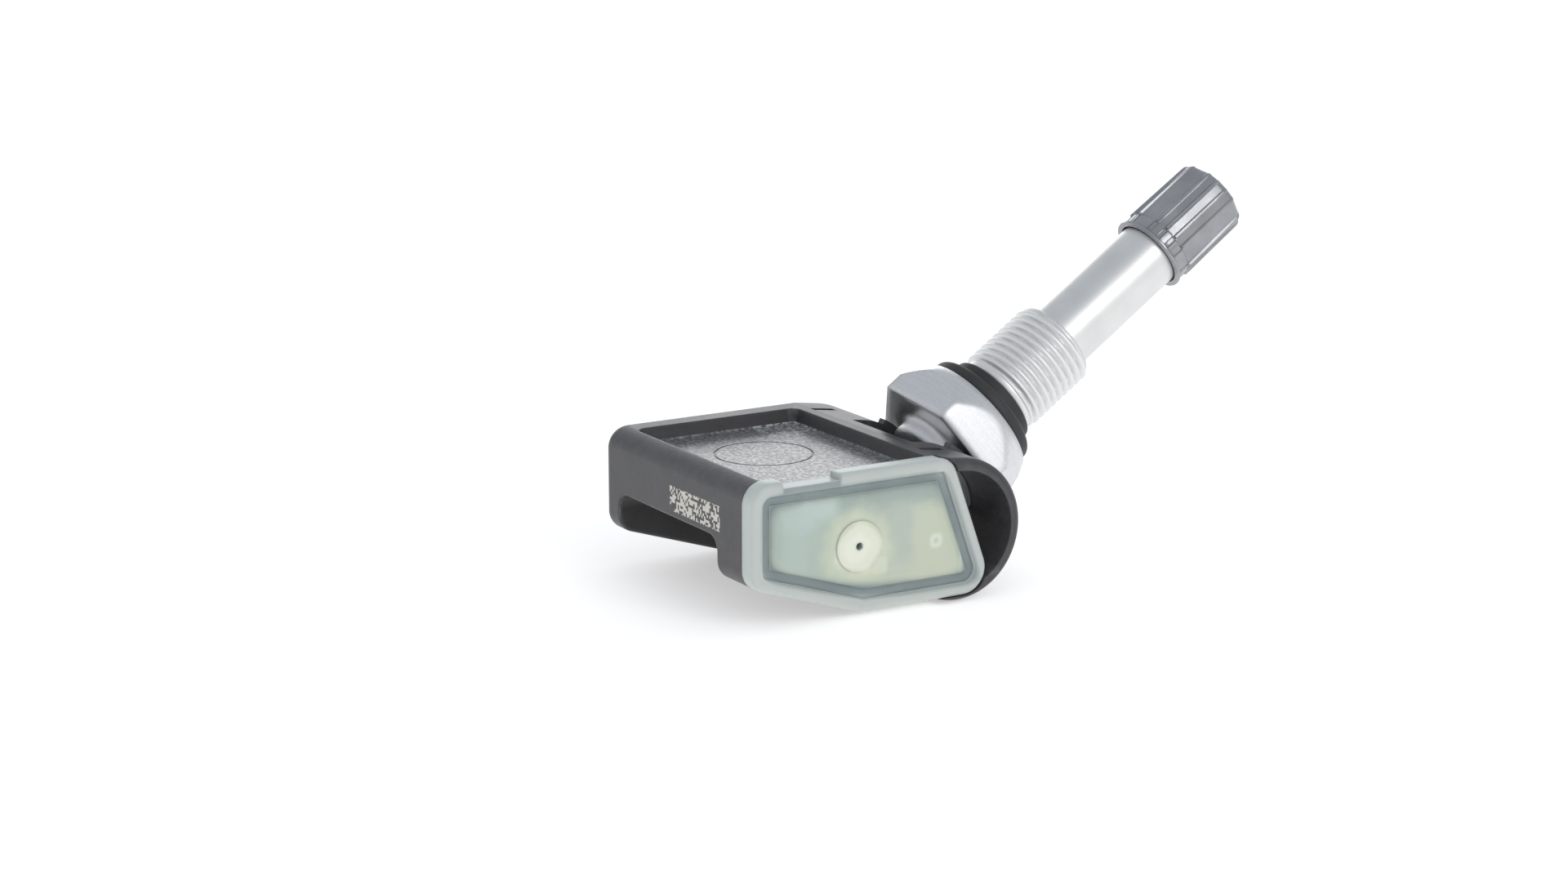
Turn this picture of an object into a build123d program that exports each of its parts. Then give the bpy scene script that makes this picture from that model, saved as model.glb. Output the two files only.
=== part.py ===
from build123d import *
import os
from math import acos, atan2, cos, hypot, radians, sin, sqrt, tan

# A tyre pressure sensor: a moulded housing that tilts on a clamp-in metal valve.
# Millimetres.  The origin is on the valve's axis where the threaded collar starts,
# which is where the wheel's rim sits.  X points from the housing to the valve, Y
# runs along the tilt axis and Z is up.

# Valve, measured along its axis from the rim seat
VALVE_LEAN = 34.4
VALVE_AHEAD = 1.2
SEAT_TO_PIVOT = 18.95
COLLAR_RADIUS = 5.5
COLLAR_LENGTH = 10.1
COLLAR_CHAMFER = 0.6
SEAT_RING = 0.6
STEM_RADIUS = 4.1
STEM_TIP = 36.1
TIP_THREAD_RADIUS = 3.85
TIP_THREAD_LENGTH = 7.4
TIP_CHAMFER = 0.5
AIR_BORE = 2.1

# Hexagon under the seal, with a cone towards the tip and a neck towards the housing
HEX_FLATS = 17.0
HEX_HEIGHT = 6.0
HEX_TOP_RADIUS = 8.05
HEX_CONE_ANGLE = 25.0
HEX_CORNER_TURN = 43.0
NECK_RADIUS = 5.15
TAIL_RADIUS = 2.5
TAIL_PROUD = 1.0
TAIL_BORE = 1.2
SPIGOT_RADIUS = 4.2
SPIGOT_LENGTH = 4.6
THREAD_GAP = 0.02

# Rubber grommet between the hexagon and the rim
GROMMET_BORE = 4.7
GROMMET_LIP_RADIUS = 7.4
GROMMET_LIP_HEIGHT = 1.8
GROMMET_LIP_EDGE = 0.7
GROMMET_RING_RADIUS = 5.7
GROMMET_RING_EDGE = 0.3

# Valve core
CORE_DEPTH = 1.0
CORE_HEAD_RADIUS = 2.6
CORE_HEAD_LENGTH = 6.5
CORE_SKIRT_RADIUS = 2.05
CORE_LENGTH = 11.5
CORE_WALL = 1.2
CORE_ROOM_RADIUS = 1.45
CORE_GASKET_RADIUS = 2.62
CORE_GASKET_HEIGHT = 2.0
CORE_WELL_GAP = 0.03
PIN_RADIUS = 0.6
PIN_RECESS = 0.4
PIN_CLEARANCE = 0.1
PIN_COLLAR_RADIUS = 1.25
PIN_COLLAR_HEIGHT = 0.7
CUP_RADIUS = 1.55
CUP_HEIGHT = 1.1
CUP_SEAL_HEIGHT = 0.5
CUP_SEAL_RADIUS = 1.45
SEAT_GAP = 0.03
SPRING_TURNS = 6
SPRING_RADIUS = 0.95
SPRING_WIRE = 0.14

# Dust cap
CAP_LENGTH = 11.5
CAP_RADIUS = 4.95
CAP_TIP_RADIUS = 4.8
CAP_END_WALL = 1.2
CAP_LIP_HEIGHT = 0.4
CAP_BAND_HEIGHT = 1.5
CAP_BAND_RADIUS = 4.7
CAP_FLUTES = 12
CAP_FLUTE_DEPTH = 0.4
CAP_FLUTE_WIDTH = 2.05
CAP_TIP_EDGE = 0.9
CAP_THREAD_CLEARANCE = 0.1
CAP_MOUTH_CLEARANCE = 0.2
CAP_SEAL_HEIGHT = 0.5
CAP_SEAL_BORE = 2.4

# Housing, measured from the tilt axis
HOUSING_DEPTH = 34.2
CRADLE_RADIUS = 8.25
TOP_RISE = 0.35
TOP_END_LEFT = 2.0
KEEL_RISE = 0.5
HOUSING_LEFT = 27.3
APEX_LEFT = 12.9
LEFT_FOOT = 3.1
WALL = 1.3
THIN_WALL = 0.9
LEFT_EDGE_RADIUS = 2.6
FOOT_EDGE_RADIUS = 2.3
APEX_EDGE_RADIUS = 2.0
BACK_EDGE_RADIUS = 1.6
FRONT_EDGE_RADIUS = 0.8
BORE_RADIUS = 6.9
SLOT_HALF_WIDTH = 6.4
SLOT_LEFT = 0.5
SLOT_LOW_ANGLE = 22.0
SADDLE_HEIGHT = 0.6
SADDLE_WIDTH = 1.2
SADDLE_SPREAD = 28.0
SADDLE_TO_HEX = 0.1
POCKET_DEPTH = 1.7
POCKET_BACK_RIM = 3.8
POCKET_LEFT_RIM = 2.2
POCKET_RIGHT = 3.4
POCKET_CORNER = 1.2
POCKET_DRAFT = 12.0
POCKET_RING_RADIUS = 5.8
POCKET_RING_WIDTH = 0.25
POCKET_RING_DEPTH = 0.15
POCKET_RING_LEFT = 14.8
POCKET_RING_BACK = 1.5
LEDGE_HEIGHT = 1.2
HEAD_DEPTH = 7.8
FLANGE_DEPTH = 3.8
UNDERCUT_CORNER = 1.8
UNDERCUT_EDGE = 0.35
DRAIN_LENGTH = 3.0
DRAIN_WIDTH = 1.0
DRAIN_DEPTH = 0.8
DRAIN_BACK = 11.6
DRAIN_LEFT = 0.6

# Translucent end cover
COVER_THICKNESS = 2.2
COVER_TOP_RIGHT = -1.0
COVER_WAIST_RIGHT = 2.05
COVER_WAIST_HEIGHT = 0.2
COVER_LOW_RIGHT = 4.9
COVER_TOP_CORNER = 2.2
COVER_LOW_CORNER = 3.0
COVER_WAIST_CORNER = 8.0
COVER_EDGE = 0.7
COVER_LAND = 1.5
COVER_RIM = 1.5
COVER_GROOVE = 1.1
COVER_GROOVE_DEPTH = 0.7
COVER_FIELD_DROP = 0.35
COVER_SOFT_EDGE = 0.3
COVER_NOTCH_FROM = 23.3
COVER_NOTCH_TO = 16.0
COVER_NOTCH_DEPTH = 0.7
PORT_LEFT = 13.4
PORT_BOSS_RADIUS = 2.9
PORT_BOSS_HEIGHT = 0.25
PORT_RADIUS = 0.45
INLET_RADIUS = 0.35

# Clamp block inside the cradle
BLOCK_HALF_LENGTH = 7.8
BLOCK_HALF_WIDTH = 3.6
BLOCK_FLAT = 3.8
BLOCK_CLEARANCE = 0.08
BORE_FRONT_GAP = 0.3

# Electronics
BOARD_THICKNESS = 1.0
BOARD_CLEARANCE = 0.2
BOARD_RIGHT = 3.0
RIB_WIDTH = 1.2
RIB_DEPTH = 1.0
RIB_SPACING = 9.0
CELL_DIAMETER = 16.0
CELL_HEIGHT = 3.2
CELL_EDGE = 0.4
CELL_LID_RADIUS = 6.7
CELL_BACK = 4.2
CELL_CAN_STEP = 0.9
TAB_THICKNESS = 0.25
TAB_WIDTH = 3.0
TAB_GRIP = 4.0
TAB_SPREAD = 2.5
CHIP_SIDE = 5.0
CHIP_HEIGHT = 1.7
GASKET_RADIUS = 2.0
COIL_LENGTH = 7.0
COIL_WIDTH = 2.6
COIL_HEIGHT = 1.8
COIL_FLANGE = 1.2
COIL_WAIST = 0.4
COIL_LEFT = 7.2
COIL_RISE = 3.0
CRYSTAL_SIZE = (3.2, 0.8, 2.5)
CRYSTAL_CORNER = 0.3
CRYSTAL_RIGHT = 6.0
CRYSTAL_RISE = 2.6
CAPACITOR_SIZE = (1.0, 0.8, 1.8)
CAPACITOR_COUNT = 4
CAPACITOR_PITCH = 2.2
CAPACITOR_RIGHT = 7.0
CAPACITOR_DROP = 1.8
STRAP_WIDTH = 2.4
STRAP_THICKNESS = 0.4
STRAP_CLEARANCE = 0.2
STRAP_RISE = 0.4
STRAP_END = 12.0

# Cutting shapes reach this far past the part
OVERSHOOT = 60.0

# Stations and places that follow from the sizes above
LEAN = radians(VALVE_LEAN)
VALVE = Plane(origin=(0, 0, 0), x_dir=(-sin(LEAN), 0, cos(LEAN)), z_dir=(cos(LEAN), 0, sin(LEAN)))
PIVOT = (-SEAT_TO_PIVOT * cos(LEAN), VALVE_AHEAD, -SEAT_TO_PIVOT * sin(LEAN))
HOUSE = Plane(origin=PIVOT)
TOP_HEIGHT = CRADLE_RADIUS + TOP_RISE
KEEL_DROP = CRADLE_RADIUS - KEEL_RISE
SADDLE_RADIUS = CRADLE_RADIUS + SADDLE_HEIGHT
HEX_BOTTOM = SADDLE_RADIUS + SADDLE_TO_HEX - SEAT_TO_PIVOT
HEX_TOP = HEX_BOTTOM + HEX_HEIGHT
BLOCK_RADIUS = BORE_RADIUS - BLOCK_CLEARANCE
BLOCK_TOP = BLOCK_RADIUS - SEAT_TO_PIVOT
BLOCK_LOW = BLOCK_FLAT - SEAT_TO_PIVOT
CORE_TOP = STEM_TIP - CORE_DEPTH
CORE_BOTTOM = CORE_TOP - CORE_LENGTH
CORE_SHOULDER = CORE_TOP - CORE_HEAD_LENGTH
WELL_RADIUS = CORE_GASKET_RADIUS + CORE_WELL_GAP
PIN_TOP = STEM_TIP - PIN_RECESS
PIN_BOTTOM = CORE_BOTTOM - SEAT_GAP - CUP_SEAL_HEIGHT - CUP_HEIGHT
SPRING_LOW = CORE_BOTTOM + CORE_WALL
PIN_COLLAR_TOP = CORE_TOP - CORE_WALL - SEAT_GAP
SPRING_HIGH = PIN_COLLAR_TOP - PIN_COLLAR_HEIGHT
CAP_SEAL_LOW = STEM_TIP + SEAT_GAP
CAP_SEAL_HIGH = CAP_SEAL_LOW + CAP_SEAL_HEIGHT
CAP_TIP = CAP_SEAL_HIGH + CAP_END_WALL
CAP_MOUTH = CAP_TIP - CAP_LENGTH
CAP_BORE = TIP_THREAD_RADIUS + CAP_THREAD_CLEARANCE
THREAD_START = STEM_TIP - TIP_THREAD_LENGTH
FRONT = -HOUSING_DEPTH / 2
BACK = HOUSING_DEPTH / 2
COVER_BACK = FRONT + COVER_THICKNESS
UNDERCUT_FRONT = FRONT + HEAD_DEPTH
UNDERCUT_BACK = BACK - FLANGE_DEPTH
HEAD_ROOM_BACK = UNDERCUT_FRONT - WALL
BLOCK_FRONT = -VALVE_AHEAD - BLOCK_HALF_LENGTH
BORE_FRONT = BLOCK_FRONT - BORE_FRONT_GAP
SLOT_FRONT = -VALVE_AHEAD - SLOT_HALF_WIDTH
SLOT_BACK = -VALVE_AHEAD + SLOT_HALF_WIDTH
POCKET_FLOOR = TOP_HEIGHT - POCKET_DEPTH
ROOM_TOP = POCKET_FLOOR - THIN_WALL
ROOM_RIGHT = -BORE_RADIUS - WALL
ROOM_LEFT = -HOUSING_LEFT + WALL
ROOM_BACK = BACK - WALL
ROOM_FLOOR = LEDGE_HEIGHT + THIN_WALL
BOARD_BACK = HEAD_ROOM_BACK - RIB_DEPTH
BOARD_FRONT = BOARD_BACK - BOARD_THICKNESS
CHIP_FRONT = BOARD_FRONT - CHIP_HEIGHT
CELL_LEFT = (ROOM_LEFT + ROOM_RIGHT) / 2
CELL_LOW = ROOM_FLOOR + TAB_THICKNESS
CELL_HIGH = CELL_LOW + CELL_HEIGHT


def turned(*points):
    """Solid turned about the valve's axis from (radius, station) points."""
    outline = Plane.XZ * make_face(Polyline(*points, close=True))
    return revolve(outline, Axis.Z)


def across(outline, start, end):
    """Solid of an x-z outline between two places along the tilt axis."""
    plane = Plane(origin=(0, end, 0), x_dir=(1, 0, 0), z_dir=(0, -1, 0))
    return extrude(plane * outline, amount=end - start)


def block(low, high):
    """Box between two opposite corners."""
    size = [b - a for a, b in zip(low, high)]
    middle = [(a + b) / 2 for a, b in zip(low, high)]
    return Pos(*middle) * Box(*size)


def rounded(face, corners):
    """Flat face with a radius at each listed corner."""
    for place, radius in corners:
        face = fillet(face.vertices().sort_by_distance(place)[0], radius)
    return face


# Outlines of the housing and its cover
def housing_outline():
    """Side outline: flat top, round cradle on the right, keel and sloping underside."""
    top_end = hypot(TOP_END_LEFT, TOP_HEIGHT)
    touch = atan2(TOP_HEIGHT, -TOP_END_LEFT) - acos(CRADLE_RADIUS / top_end)
    high = (CRADLE_RADIUS * cos(touch), CRADLE_RADIUS * sin(touch))
    low = (-sqrt(CRADLE_RADIUS**2 - KEEL_DROP**2), -KEEL_DROP)
    round_end = ThreePointArc(high, (CRADLE_RADIUS, 0), low)
    sides = Polyline(
        low,
        (-APEX_LEFT, -KEEL_DROP),
        (-HOUSING_LEFT, -LEFT_FOOT),
        (-HOUSING_LEFT, TOP_HEIGHT),
        (-TOP_END_LEFT, TOP_HEIGHT),
        high,
    )
    face = Sketch() + make_face(round_end + sides)
    corners = (
        ((-HOUSING_LEFT, TOP_HEIGHT), LEFT_EDGE_RADIUS),
        ((-HOUSING_LEFT, -LEFT_FOOT), FOOT_EDGE_RADIUS),
        ((-APEX_LEFT, -KEEL_DROP), APEX_EDGE_RADIUS),
    )
    return rounded(face, corners)


def cover_outline():
    """The part of the side outline that the cover fills, left of its waisted edge."""
    edge = Polyline(
        (COVER_TOP_RIGHT, TOP_HEIGHT),
        (COVER_WAIST_RIGHT, COVER_WAIST_HEIGHT),
        (COVER_LOW_RIGHT, -KEEL_DROP),
        (-OVERSHOOT, -KEEL_DROP),
        (-OVERSHOOT, TOP_HEIGHT),
        close=True,
    )
    corners = (
        ((COVER_TOP_RIGHT, TOP_HEIGHT), COVER_TOP_CORNER),
        ((COVER_WAIST_RIGHT, COVER_WAIST_HEIGHT), COVER_WAIST_CORNER),
        ((COVER_LOW_RIGHT, -KEEL_DROP), COVER_LOW_CORNER),
    )
    return housing_outline() & rounded(Sketch() + make_face(edge), corners)


# Housing
def bay_outline(gap):
    """Outline of the space behind the cover, with a gap all round, under the ceiling."""
    ceiling = Pos(0, ROOM_TOP - gap - OVERSHOOT / 2) * Rectangle(2 * OVERSHOOT, OVERSHOOT)
    return offset(cover_outline(), -COVER_LAND - gap) & ceiling


def room():
    """Hollow for the electronics: a deep bay in the head and a flat one for the cell."""
    hollow = across(bay_outline(0), COVER_BACK, HEAD_ROOM_BACK)
    hollow += block((ROOM_LEFT, COVER_BACK, ROOM_FLOOR), (ROOM_RIGHT, ROOM_BACK, ROOM_TOP))
    for side in (-1, 1):
        middle = -PORT_LEFT + side * RIB_SPACING / 2
        low = (middle - RIB_WIDTH / 2, BOARD_BACK, -KEEL_DROP)
        hollow -= block(low, (middle + RIB_WIDTH / 2, HEAD_ROOM_BACK, ROOM_FLOOR))
    return hollow


def cradle_hollow():
    """Round bore for the clamp block, its mouth beside the cover and the valve's slot."""
    bore = across(Sketch() + Circle(BORE_RADIUS), BORE_FRONT, BACK)
    mouth = across(Circle(BORE_RADIUS) - cover_outline(), FRONT, BORE_FRONT)
    low = radians(SLOT_LOW_ANGLE)
    inner = BORE_RADIUS / 2
    slot = make_face(
        Polyline(
            (-SLOT_LEFT, inner),
            (-SLOT_LEFT, OVERSHOOT),
            (OVERSHOOT, OVERSHOOT),
            (OVERSHOOT, -OVERSHOOT * tan(low)),
            (inner, -inner * tan(low)),
            close=True,
        )
    )
    return bore + mouth + across(slot, SLOT_FRONT, SLOT_BACK)


def saddle_ribs():
    """Two curved ribs beside the slot that the hexagon's underside slides on."""
    band = Circle(SADDLE_RADIUS) - Circle(BORE_RADIUS)
    ends = [radians(VALVE_LEAN + side * SADDLE_SPREAD) for side in (-1, 1)]
    wedge = [(OVERSHOOT * cos(end), OVERSHOOT * sin(end)) for end in ends]
    band &= make_face(Polyline((0, 0), *wedge, close=True))
    front = across(band, SLOT_FRONT - SADDLE_WIDTH, SLOT_FRONT)
    return front + across(band, SLOT_BACK, SLOT_BACK + SADDLE_WIDTH)


def top_pocket():
    """Shallow pocket in the top, open towards the cover, with a ring cut in its floor."""
    left = -HOUSING_LEFT + POCKET_LEFT_RIM
    ahead = FRONT - POCKET_DEPTH
    length = BACK - POCKET_BACK_RIM - ahead
    width = -POCKET_RIGHT - left
    plan = Pos(left + width / 2, ahead + length / 2) * Rectangle(width, length)
    plan = fillet(plan.vertices().group_by(Axis.Y)[-1], POCKET_CORNER)
    pocket = extrude(Pos(0, 0, TOP_HEIGHT) * plan, amount=-POCKET_DEPTH, taper=POCKET_DRAFT)
    ring = Circle(POCKET_RING_RADIUS) - Circle(POCKET_RING_RADIUS - POCKET_RING_WIDTH)
    ring = Pos(-POCKET_RING_LEFT, POCKET_RING_BACK, POCKET_FLOOR) * ring
    return pocket + extrude(ring, amount=-POCKET_RING_DEPTH)


def undercut():
    """Wide cut under the flat bay, between the head and the back flange, up to the cradle."""
    plane = Plane(origin=(-OVERSHOOT, 0, 0), x_dir=(0, 1, 0), z_dir=(1, 0, 0))
    length = UNDERCUT_BACK - UNDERCUT_FRONT
    middle = (UNDERCUT_BACK + UNDERCUT_FRONT) / 2
    shape = Pos(middle, LEDGE_HEIGHT - OVERSHOOT / 2) * Rectangle(length, OVERSHOOT)
    shape = fillet(shape.vertices().group_by(Axis.Y)[-1], UNDERCUT_CORNER)
    cut = extrude(plane * shape, amount=OVERSHOOT)
    return cut - across(Sketch() + Circle(CRADLE_RADIUS), FRONT, BACK)


def inside_undercut(edge):
    """True for the edges that bound the undercut on the left wall."""
    place = edge @ 0.5
    return UNDERCUT_FRONT <= place.Y <= UNDERCUT_BACK and place.Z <= LEDGE_HEIGHT


def housing():
    """Moulded body with soft outer edges."""
    body = across(housing_outline(), FRONT, BACK)
    body = fillet(body.faces().sort_by(Axis.Y)[-1].edges(), BACK_EDGE_RADIUS)
    body = fillet(body.faces().sort_by(Axis.Y)[0].edges(), FRONT_EDGE_RADIUS)
    body += saddle_ribs()
    body -= across(cover_outline(), FRONT, COVER_BACK)
    body -= room()
    body -= cradle_hollow()
    body -= top_pocket()
    body -= undercut()
    rim = body.faces().filter_by(Axis.X).sort_by(Axis.X)[0]
    body = fillet(rim.outer_wire().edges().filter_by(inside_undercut), UNDERCUT_EDGE)
    for side in (-1, 1):
        place = Pos(-DRAIN_LEFT, side * DRAIN_BACK, TOP_HEIGHT)
        body -= place * Box(DRAIN_LENGTH, DRAIN_WIDTH, 2 * DRAIN_DEPTH)
    return body


def end_cover():
    """Frosted cover with a raised rim, a groove inside it and a boss round the air port."""
    outline = cover_outline()
    cover = across(outline, FRONT, COVER_BACK)
    cover = fillet(cover.faces().sort_by(Axis.Y)[0].edges(), COVER_EDGE)
    groove_floor = FRONT + COVER_GROOVE_DEPTH
    field = FRONT + COVER_FIELD_DROP
    cover -= across(offset(outline, -COVER_RIM), FRONT, groove_floor)
    cover = fillet(cover.faces().sort_by(Axis.Y)[0].inner_wires()[0].edges(), COVER_SOFT_EDGE)
    raised = across(offset(outline, -COVER_RIM - COVER_GROOVE), field, groove_floor)
    cover += fillet(raised.faces().sort_by(Axis.Y)[0].edges(), COVER_SOFT_EDGE)
    port = Pos(-PORT_LEFT, 0)
    cover += across(port * Circle(PORT_BOSS_RADIUS), field - PORT_BOSS_HEIGHT, groove_floor)
    cover -= across(port * Circle(PORT_RADIUS), FRONT, COVER_BACK)
    notch_low = (-COVER_NOTCH_FROM, FRONT, TOP_HEIGHT - COVER_NOTCH_DEPTH)
    cover -= block(notch_low, (-COVER_NOTCH_TO, COVER_BACK, OVERSHOOT))
    return cover


# Electronics inside the housing
def circuit_board():
    """Board behind the cover, shaped like the bay that it stands in."""
    right = Pos(-BOARD_RIGHT - OVERSHOOT / 2, 0) * Rectangle(OVERSHOOT, OVERSHOOT)
    return across(bay_outline(BOARD_CLEARANCE) & right, BOARD_FRONT, BOARD_BACK)


def on_board(x, z, depth):
    """Middle of a component of some depth that stands on the board's front."""
    return Pos(x, BOARD_FRONT - depth / 2, z)


def sensor_chip():
    """Pressure sensor on the board, with its inlet facing the cover's port."""
    body = on_board(-PORT_LEFT, 0, CHIP_HEIGHT) * Box(CHIP_SIDE, CHIP_HEIGHT, CHIP_SIDE)
    return body - across(Pos(-PORT_LEFT, 0) * Circle(INLET_RADIUS), CHIP_FRONT, BOARD_FRONT)


def port_gasket():
    """Soft ring that leads from the cover's port to the chip's inlet."""
    ring = Circle(GASKET_RADIUS) - Circle(PORT_RADIUS)
    return across(Pos(-PORT_LEFT, 0) * ring, COVER_BACK, CHIP_FRONT)


def battery_cell():
    """Coin cell: can with a smaller lid on its underside."""
    place = Pos(CELL_LEFT, CELL_BACK, 0)
    can_height = CELL_HEIGHT - CELL_CAN_STEP
    can = Pos(0, 0, CELL_HIGH - can_height / 2) * Cylinder(CELL_DIAMETER / 2, can_height)
    can = fillet(can.edges(), CELL_EDGE)
    lid = Pos(0, 0, CELL_LOW + CELL_CAN_STEP / 2) * Cylinder(CELL_LID_RADIUS, CELL_CAN_STEP)
    return place * (can + lid)


def battery_tab(low_face, side):
    """Flat strip from the cell to the back of the board, left or right of the middle."""
    middle = CELL_LEFT + side * TAB_SPREAD
    low = (middle - TAB_WIDTH / 2, BOARD_BACK, low_face)
    high = (middle + TAB_WIDTH / 2, CELL_BACK - TAB_GRIP, low_face + TAB_THICKNESS)
    return block(low, high)


def coil_window():
    """Space for the wire round the bobbin's waist."""
    window = COIL_LENGTH - 2 * COIL_FLANGE
    waist = Box(window, COIL_HEIGHT - 2 * COIL_WAIST, COIL_WIDTH - 2 * COIL_WAIST)
    return Box(window, COIL_HEIGHT, COIL_WIDTH) - waist


def coil_place():
    """Middle of the wake-up coil, left of the chip."""
    return on_board(-PORT_LEFT - COIL_LEFT, COIL_RISE, COIL_HEIGHT)


def coil_core():
    """Ferrite bobbin of the wake-up coil."""
    return coil_place() * (Box(COIL_LENGTH, COIL_HEIGHT, COIL_WIDTH) - coil_window())


def coil_winding():
    """Wire wound on the bobbin's waist."""
    return coil_place() * coil_window()


def crystal():
    """Metal-lidded clock crystal on the board."""
    depth = CRYSTAL_SIZE[1]
    can = on_board(-PORT_LEFT + CRYSTAL_RIGHT, CRYSTAL_RISE, depth) * Box(*CRYSTAL_SIZE)
    return fillet(can.edges().filter_by(Axis.Y), CRYSTAL_CORNER)


def chip_capacitors():
    """Row of ceramic capacitors on the board."""
    row = GridLocations(CAPACITOR_PITCH, CAPACITOR_PITCH, CAPACITOR_COUNT, 1)
    middle = on_board(-PORT_LEFT + CAPACITOR_RIGHT, -CAPACITOR_DROP, CAPACITOR_SIZE[1])
    return Compound(children=[middle * place * Box(*CAPACITOR_SIZE) for place in row])


def antenna_strap():
    """Stamped antenna on edge, from the board along the left wall and round the cell."""
    low = ROOM_FLOOR + STRAP_RISE
    left = ROOM_LEFT + STRAP_CLEARANCE
    back = ROOM_BACK - STRAP_CLEARANCE
    side = block((left, BOARD_BACK, low), (left + STRAP_THICKNESS, back, low + STRAP_WIDTH))
    end = block((left, back - STRAP_THICKNESS, low), (left + STRAP_END, back, low + STRAP_WIDTH))
    return side + end


# Valve
def hex_base():
    """Hexagon with a cone on its upper side, a neck and a threaded tail."""
    plan = RegularPolygon(HEX_FLATS / sqrt(3), 6, rotation=HEX_CORNER_TURN)
    hexagon = extrude(Pos(0, 0, HEX_BOTTOM) * plan, amount=HEX_HEIGHT)
    spread = HEX_HEIGHT * tan(radians(HEX_CONE_ANGLE))
    hexagon &= turned(
        (0, HEX_BOTTOM),
        (HEX_TOP_RADIUS + spread, HEX_BOTTOM),
        (HEX_TOP_RADIUS, HEX_TOP),
        (0, HEX_TOP),
    )
    tail_end = BLOCK_LOW - TAIL_PROUD
    neck = turned(
        (0, tail_end),
        (TAIL_RADIUS, tail_end),
        (TAIL_RADIUS, BLOCK_TOP),
        (NECK_RADIUS, BLOCK_TOP),
        (NECK_RADIUS, HEX_BOTTOM),
        (0, HEX_BOTTOM),
    )
    socket_floor = HEX_TOP - SPIGOT_LENGTH
    passage = turned(
        (0, tail_end),
        (TAIL_BORE, tail_end),
        (TAIL_BORE, socket_floor),
        (SPIGOT_RADIUS + THREAD_GAP, socket_floor),
        (SPIGOT_RADIUS + THREAD_GAP, HEX_TOP),
        (0, HEX_TOP),
    )
    return hexagon + neck - passage


def clamp_block():
    """Curved nut that bears on the inside of the cradle and takes the tail's thread."""
    round_bar = across(Sketch() + Circle(BLOCK_RADIUS), BLOCK_FRONT, BLOCK_FRONT + 2 * BLOCK_HALF_LENGTH)
    slab = Pos(0, 0, BLOCK_LOW + OVERSHOOT / 2) * Box(2 * BLOCK_HALF_WIDTH, OVERSHOOT, OVERSHOOT)
    hole = Pos(0, 0, BLOCK_LOW) * Cylinder(TAIL_RADIUS + THREAD_GAP, OVERSHOOT)
    return (HOUSE * round_bar) & (VALVE * (slab - hole))


def valve_stem():
    """Spigot, grommet seat, threaded collar, slim stem and cap thread, bored through."""
    foot = HEX_TOP - SPIGOT_LENGTH
    return turned(
        (AIR_BORE, foot),
        (SPIGOT_RADIUS, foot),
        (SPIGOT_RADIUS, HEX_TOP),
        (GROMMET_BORE, HEX_TOP),
        (GROMMET_BORE, -SEAT_RING),
        (COLLAR_RADIUS - SEAT_RING, -SEAT_RING),
        (COLLAR_RADIUS, 0),
        (COLLAR_RADIUS, COLLAR_LENGTH - COLLAR_CHAMFER),
        (COLLAR_RADIUS - COLLAR_CHAMFER, COLLAR_LENGTH),
        (STEM_RADIUS, COLLAR_LENGTH),
        (STEM_RADIUS, THREAD_START - (STEM_RADIUS - TIP_THREAD_RADIUS)),
        (TIP_THREAD_RADIUS, THREAD_START),
        (TIP_THREAD_RADIUS, STEM_TIP - TIP_CHAMFER),
        (TIP_THREAD_RADIUS - TIP_CHAMFER, STEM_TIP),
        (WELL_RADIUS, STEM_TIP),
        (WELL_RADIUS, CORE_SHOULDER - CORE_GASKET_HEIGHT),
        (AIR_BORE, CORE_SHOULDER - CORE_GASKET_HEIGHT),
    )


def grommet():
    """Rubber seal with a wide lip under the rim and a ring inside its hole."""
    lip_top = HEX_TOP + GROMMET_LIP_HEIGHT
    lip = turned(
        (GROMMET_BORE, HEX_TOP),
        (GROMMET_LIP_RADIUS, HEX_TOP),
        (GROMMET_LIP_RADIUS, lip_top),
        (GROMMET_BORE, lip_top),
    )
    rim = lip.edges().filter_by(GeomType.CIRCLE).group_by(SortBy.RADIUS)[-1]
    lip = fillet(rim, GROMMET_LIP_EDGE)
    ring = turned(
        (GROMMET_BORE, HEX_TOP),
        (GROMMET_RING_RADIUS, HEX_TOP),
        (GROMMET_RING_RADIUS, -SEAT_RING),
        (GROMMET_BORE, -SEAT_RING),
    )
    top = ring.edges().group_by(Axis.Z)[-1].sort_by(SortBy.RADIUS)[-1]
    return lip + fillet(top, GROMMET_RING_EDGE)


# Valve core
def core_barrel():
    """Plug that screws into the stem, with a spring room and a hole at each end."""
    hole = PIN_RADIUS + PIN_CLEARANCE
    return turned(
        (hole, CORE_TOP),
        (CORE_HEAD_RADIUS, CORE_TOP),
        (CORE_HEAD_RADIUS, CORE_SHOULDER),
        (CORE_SKIRT_RADIUS, CORE_SHOULDER),
        (CORE_SKIRT_RADIUS, CORE_BOTTOM),
        (hole, CORE_BOTTOM),
        (hole, CORE_BOTTOM + CORE_WALL),
        (CORE_ROOM_RADIUS, CORE_BOTTOM + CORE_WALL),
        (CORE_ROOM_RADIUS, CORE_TOP - CORE_WALL),
        (hole, CORE_TOP - CORE_WALL),
    )


def core_gasket():
    """Ring that seals the barrel in the stem."""
    return turned(
        (CORE_SKIRT_RADIUS, CORE_SHOULDER),
        (CORE_GASKET_RADIUS, CORE_SHOULDER),
        (CORE_GASKET_RADIUS, CORE_SHOULDER - CORE_GASKET_HEIGHT),
        (CORE_SKIRT_RADIUS, CORE_SHOULDER - CORE_GASKET_HEIGHT),
    )


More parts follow.
